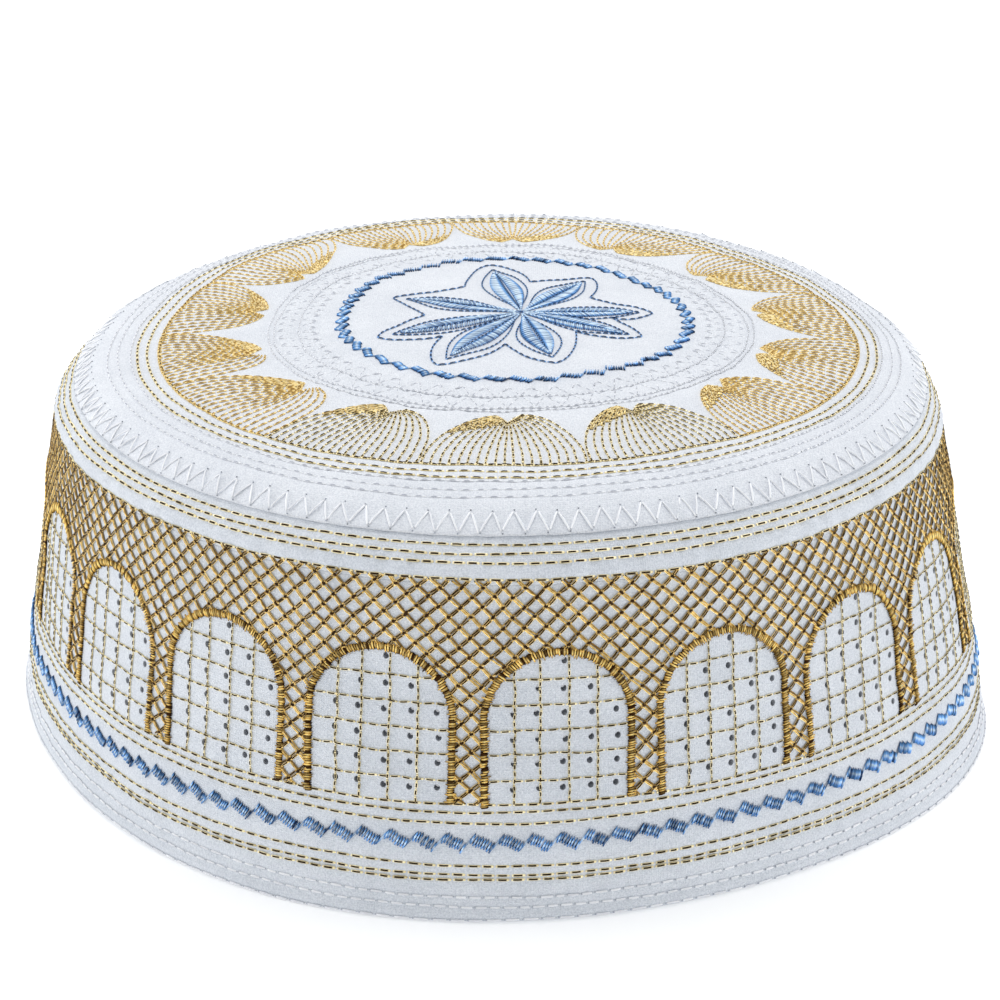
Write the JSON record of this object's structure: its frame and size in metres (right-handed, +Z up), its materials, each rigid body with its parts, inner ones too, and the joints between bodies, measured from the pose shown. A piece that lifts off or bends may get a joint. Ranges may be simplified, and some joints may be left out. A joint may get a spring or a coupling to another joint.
{
  "type": "kufi",
  "caption": "White cotton kufi with a flat oval crown, embroidered in gold with an arcade and lattice round the wall, fans and a blue eight-petal flower on the crown.",
  "frame": {"origin": "centre of the cap's bounding box in plan, on the surface that the hem rests on", "axes": "+Z up through the crown, -Y towards the front of the cap as pictured, +X to the picture's right"},
  "size_m": [0.1878, 0.197, 0.0726],
  "materials": {
    "wall_cloth": "matt woven cotton",
    "trim_cloth": "matt woven cotton",
    "crown_cloth": "matt woven cotton"
  },
  "bodies": {
    "root": {"side_wall": "wall_cloth", "hem_binding": "trim_cloth", "shoulder_band": "trim_cloth", "crown_panel": "crown_cloth"}
  },
  "joints": []
}
